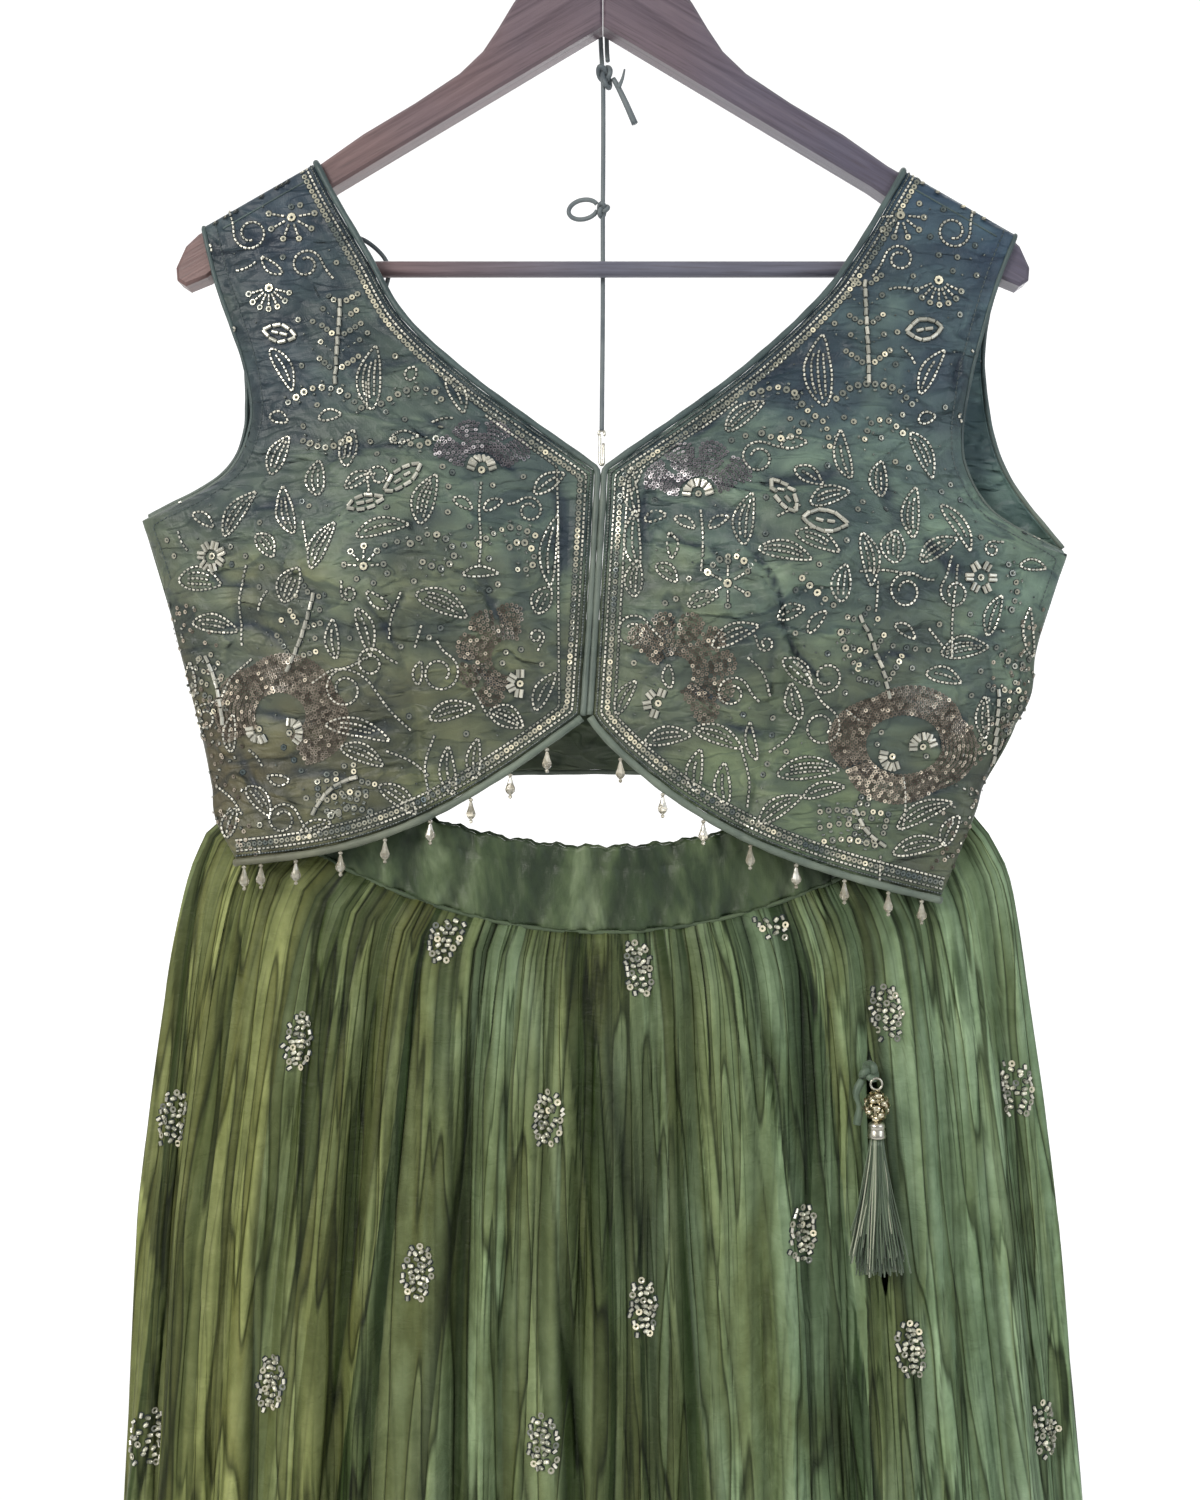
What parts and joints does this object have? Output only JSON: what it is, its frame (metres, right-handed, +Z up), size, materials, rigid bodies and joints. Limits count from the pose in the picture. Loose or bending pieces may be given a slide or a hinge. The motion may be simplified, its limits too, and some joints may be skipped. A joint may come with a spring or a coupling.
{
  "type": "lehenga set on a wooden hanger",
  "caption": "Sleeveless V-neck beaded choli and gathered crushed-silk lehenga skirt with waistband and tassel, hung together on a wooden hanger with a bar and steel hook.",
  "frame": {"origin": "inside top of the hanger's steel hook, where it hangs", "axes": "+Z up, -Y is the front, +X is the wearer's left"},
  "size_m": [0.5899, 0.13, 1.5534],
  "materials": {
    "silk_satin": "satin",
    "piping_satin": "satin",
    "crushed_silk": "satin",
    "band_satin": "satin",
    "rouleau": "matte",
    "silk_thread": "satin",
    "hanger_wood": "satin",
    "steel": "polished",
    "crystal": "polished",
    "sequin": "polished"
  },
  "bodies": {
    "root": {"hanger_arm_right": "hanger_wood", "hanger_arm_left": "hanger_wood", "hanger_bar": "hanger_wood", "hanger_hook": "steel", "cord_hook": "steel", "tassel_ring": "steel", "tassel_cap": "steel", "choli_front_right": "silk_satin", "choli_front_left": "silk_satin", "choli_back": "silk_satin", "choli_front_right_edge_piping": "piping_satin", "choli_front_right_armhole_piping": "piping_satin", "choli_front_right_hem_piping": "piping_satin", "choli_front_left_edge_piping": "piping_satin", "choli_front_left_armhole_piping": "piping_satin", "choli_front_left_hem_piping": "piping_satin", "choli_back_neck_piping": "piping_satin", "choli_back_right_armhole_piping": "piping_satin", "choli_back_left_armhole_piping": "piping_satin", "choli_back_hem_piping": "piping_satin", "crystal_drop_right_1": "crystal", "crystal_drop_right_2": "crystal", "crystal_drop_right_3": "crystal", "crystal_drop_right_4": "crystal", "crystal_drop_right_5": "crystal", "crystal_drop_right_6": "crystal", "crystal_drop_right_7": "crystal", "crystal_drop_right_8": "crystal", "crystal_drop_right_9": "crystal", "crystal_drop_left_1": "crystal", "crystal_drop_left_2": "crystal", "crystal_drop_left_3": "crystal", "crystal_drop_left_4": "crystal", "crystal_drop_left_5": "crystal", "crystal_drop_left_6": "crystal", "crystal_drop_left_7": "crystal", "crystal_drop_left_8": "crystal", "tassel_bead_ball": "crystal", "skirt_front": "crushed_silk", "skirt_back": "crushed_silk", "tie_cord": "crushed_silk", "tie_knot": "crushed_silk", "tie_tail": "crushed_silk", "waistband_front": "band_satin", "waistband_back": "band_satin", "waist_piping_front": "band_satin", "waist_piping_back": "band_satin", "tassel_silk": "silk_thread", "skirt_loop_right": "rouleau", "skirt_loop_left": "rouleau", "choli_back_loop": "rouleau", "cord_lower": "rouleau", "cord_loop_knot": "rouleau", "cord_loop": "rouleau", "cord_upper": "rouleau", "cord_knot": "rouleau", "cord_noose": "rouleau", "cord_tail": "rouleau"}
  },
  "joints": []
}
